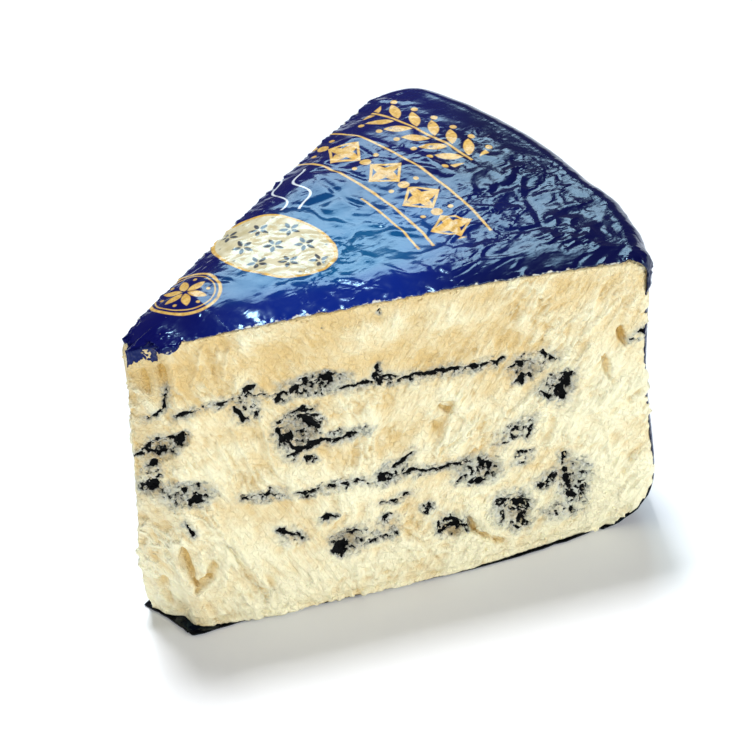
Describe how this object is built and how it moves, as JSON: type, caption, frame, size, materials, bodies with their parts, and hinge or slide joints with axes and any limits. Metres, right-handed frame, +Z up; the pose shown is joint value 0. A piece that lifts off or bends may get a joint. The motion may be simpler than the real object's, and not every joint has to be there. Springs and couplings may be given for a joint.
{
  "type": "blue cheese wedge",
  "caption": "Wedge of soft blue-veined cheese cut from a small wheel, with the plain printed film that wraps its top, rim and base.",
  "frame": {"origin": "centre of the bounding box in plan, on the surface that the wedge stands on", "axes": "+X from the blunt tip to the rim, along the line that halves the wedge; +Z up; the front cut faces -Y"},
  "size_m": [0.0964, 0.0708, 0.0668],
  "materials": {
    "cheese_paste": "soft, slightly moist cream paste with blue-black mould veins",
    "printed_film": "glossy crinkled navy film with gold print"
  },
  "bodies": {
    "root": {"cheese": "cheese_paste", "wrapper": "printed_film"}
  },
  "joints": []
}
